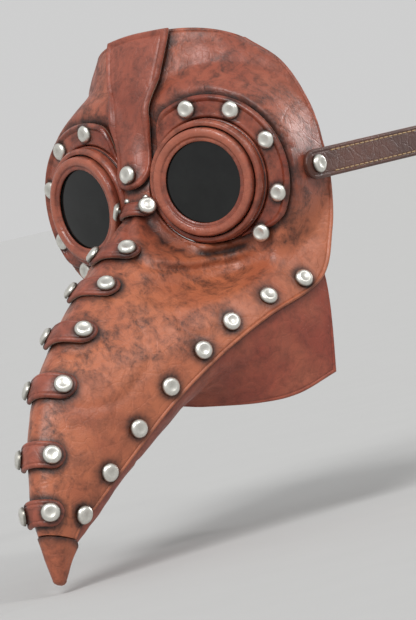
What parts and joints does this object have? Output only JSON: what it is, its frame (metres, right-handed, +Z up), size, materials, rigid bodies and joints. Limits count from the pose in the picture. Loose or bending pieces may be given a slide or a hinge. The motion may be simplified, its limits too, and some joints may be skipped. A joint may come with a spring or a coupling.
{
  "type": "plague doctor mask",
  "caption": "Long beaked costume mask of riveted leather shells with round goggles, a brow pad and a buckled head strap.",
  "frame": {"origin": "between the eyes, level with the lens centres, on the plane where the brow pad meets the forehead", "axes": "+Z up, -Y forward along the beak, +X the wearer's left"},
  "size_m": [0.1743, 0.3567, 0.2533],
  "materials": {
    "mask_leather": "moulded rust-brown leather, waxed, with dark patina",
    "jaw_leather": "darker moulded leather, satin",
    "goggle_leather": "leather-wrapped rings, burnished glossy edges",
    "strap_leather": "flat strap leather with burnished edges",
    "lock_ring_rubber": "moulded black rubber",
    "smoked_lens": "smoked, nearly black, polished",
    "buckle_metal": "antiqued brass",
    "rivet_metal": "worn nickel plate, satin",
    "pad_foam": "foam pad covered in black brushed fabric"
  },
  "bodies": {
    "mask": {"face_shell": "mask_leather", "beak_tip": "mask_leather", "brow_strap": "mask_leather", "nose_bridge_tab": "mask_leather", "beak_band_1": "mask_leather", "beak_band_2": "mask_leather", "beak_band_3": "mask_leather", "beak_band_4": "mask_leather", "beak_band_5": "mask_leather", "beak_band_6": "mask_leather", "jaw_shell": "jaw_leather", "goggle_flange_left": "goggle_leather", "goggle_flange_right": "goggle_leather", "eyecup_left": "goggle_leather", "eyecup_right": "goggle_leather", "lock_ring_left": "lock_ring_rubber", "lock_ring_right": "lock_ring_rubber", "lens_left": "smoked_lens", "lens_right": "smoked_lens", "band_rivet_1_left": "rivet_metal", "band_rivet_1_right": "rivet_metal", "band_rivet_2_left": "rivet_metal", "band_rivet_2_right": "rivet_metal", "band_rivet_3_left": "rivet_metal", "band_rivet_3_right": "rivet_metal", "band_rivet_4_left": "rivet_metal", "band_rivet_4_right": "rivet_metal", "band_rivet_5_left": "rivet_metal", "band_rivet_5_right": "rivet_metal", "band_rivet_6_left": "rivet_metal", "band_rivet_6_right": "rivet_metal", "seam_rivet_1_left": "rivet_metal", "seam_rivet_1_right": "rivet_metal", "seam_rivet_2_left": "rivet_metal", "seam_rivet_2_right": "rivet_metal", "seam_rivet_3_left": "rivet_metal", "seam_rivet_3_right": "rivet_metal", "seam_rivet_4_left": "rivet_metal", "seam_rivet_4_right": "rivet_metal", "seam_rivet_5_left": "rivet_metal", "seam_rivet_5_right": "rivet_metal", "seam_rivet_6_left": "rivet_metal", "seam_rivet_6_right": "rivet_metal", "seam_rivet_7_left": "rivet_metal", "seam_rivet_7_right": "rivet_metal", "seam_rivet_8_left": "rivet_metal", "seam_rivet_8_right": "rivet_metal", "bridge_rivet_left": "rivet_metal", "bridge_rivet_right": "rivet_metal", "brow_rivet": "rivet_metal", "temple_rivet_left": "rivet_metal", "temple_rivet_right": "rivet_metal", "brow_pad": "pad_foam"},
    "strap_loop": {"strap_long": "strap_leather", "strap_short": "strap_leather"},
    "buckle": {"buckle_frame": "buckle_metal"},
    "prong": {"buckle_prong": "buckle_metal"},
    "keeper": {"strap_keeper": "strap_leather"},
    "bezel_left": {"bezel_left": "goggle_leather"},
    "bezel_right": {"bezel_right": "goggle_leather"}
  },
  "joints": [
    {"name": "strap_swing", "type": "hinge", "parent": "mask", "child": "strap_loop", "pos_m": [0, 0.012, -0.004], "axis": [1, 0, 0], "range_deg": [-10, 45]},
    {"name": "buckle_swing", "type": "hinge", "parent": "strap_loop", "child": "buckle", "pos_m": [-0.08135, 0.064, -0.004], "axis": [0, 0, 1], "range_deg": [0, 15]},
    {"name": "prong_swing", "type": "hinge", "parent": "buckle", "child": "prong", "pos_m": [-0.08135, 0.064, -0.004], "axis": [0, 0, 1], "range_deg": [0, 20]},
    {"name": "keeper_slide", "type": "slide", "parent": "strap_loop", "child": "keeper", "axis": [0, 1, 0], "range_m": [-0.009, 0.001]},
    {"name": "bezel_left_turn", "type": "hinge", "parent": "mask", "child": "bezel_left", "pos_m": [0.0395, -0.027, 0], "axis": [0.225, -0.9744, 0], "range_deg": [0, 330]},
    {"name": "bezel_right_turn", "type": "hinge", "parent": "mask", "child": "bezel_right", "pos_m": [-0.0395, -0.027, 0], "axis": [-0.225, -0.9744, 0], "range_deg": [0, 330]}
  ]
}
